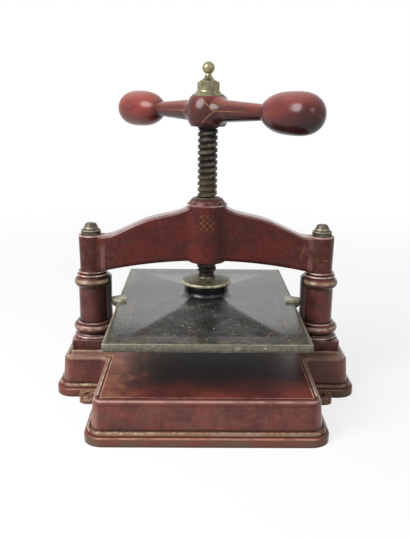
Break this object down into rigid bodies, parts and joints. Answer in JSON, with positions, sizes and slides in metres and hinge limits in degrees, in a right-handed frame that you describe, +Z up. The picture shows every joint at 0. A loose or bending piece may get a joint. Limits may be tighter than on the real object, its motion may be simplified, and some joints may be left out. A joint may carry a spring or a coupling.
{
  "type": "copying press",
  "caption": "Cast iron screw press for copying letters and pressing books, with a raised flat bed, a guided platen and a two-grip turning handle.",
  "frame": {"origin": "floor point under the axis of the main screw, at the middle of the base", "axes": "+Z up along the main screw; the two columns stand on the X axis; the long way of the bed is Y and its front is towards -Y"},
  "size_m": [0.3806, 0.3616, 0.4089],
  "materials": {
    "maroon_enamel": "worn semi-gloss oxblood enamel on cast iron",
    "black_enamel": "worn black enamel on a cast plate",
    "screw_steel": "dark oiled steel",
    "dark_iron": "aged dark iron",
    "aged_brass": "tarnished brass with bright rubbed edges"
  },
  "bodies": {
    "press_frame": {"base": "maroon_enamel", "bridge": "maroon_enamel", "screw_bush": "dark_iron", "bush_lock_screw": "dark_iron", "left_column": "maroon_enamel", "left_tie_rod": "dark_iron", "left_top_nut": "dark_iron", "left_lower_washer": "dark_iron", "left_lower_nut": "dark_iron", "right_column": "maroon_enamel", "right_tie_rod": "dark_iron", "right_top_nut": "dark_iron", "right_lower_washer": "dark_iron", "right_lower_nut": "dark_iron"},
    "platen_group": {"platen": "black_enamel", "retaining_cap": "aged_brass"},
    "screw_group": {"screw": "screw_steel", "thrust_collar": "screw_steel", "thrust_pin": "screw_steel", "handle": "maroon_enamel", "handle_washer": "aged_brass", "cap_nut": "aged_brass"}
  },
  "joints": [
    {"name": "platen_slide", "type": "slide", "parent": "press_frame", "child": "platen_group", "axis": [0, 0, 1], "range_m": [-0.05255, 0.0194]},
    {"name": "screw_turn", "type": "hinge", "parent": "platen_group", "child": "screw_group", "pos_m": [0, 0, 0.2], "axis": [0, 0, 1], "range_deg": [-2520, 930]}
  ],
  "couplings": [
    {"joint": "platen_slide", "follows": "screw_turn", "m_per_rad": 0.0011937}
  ]
}
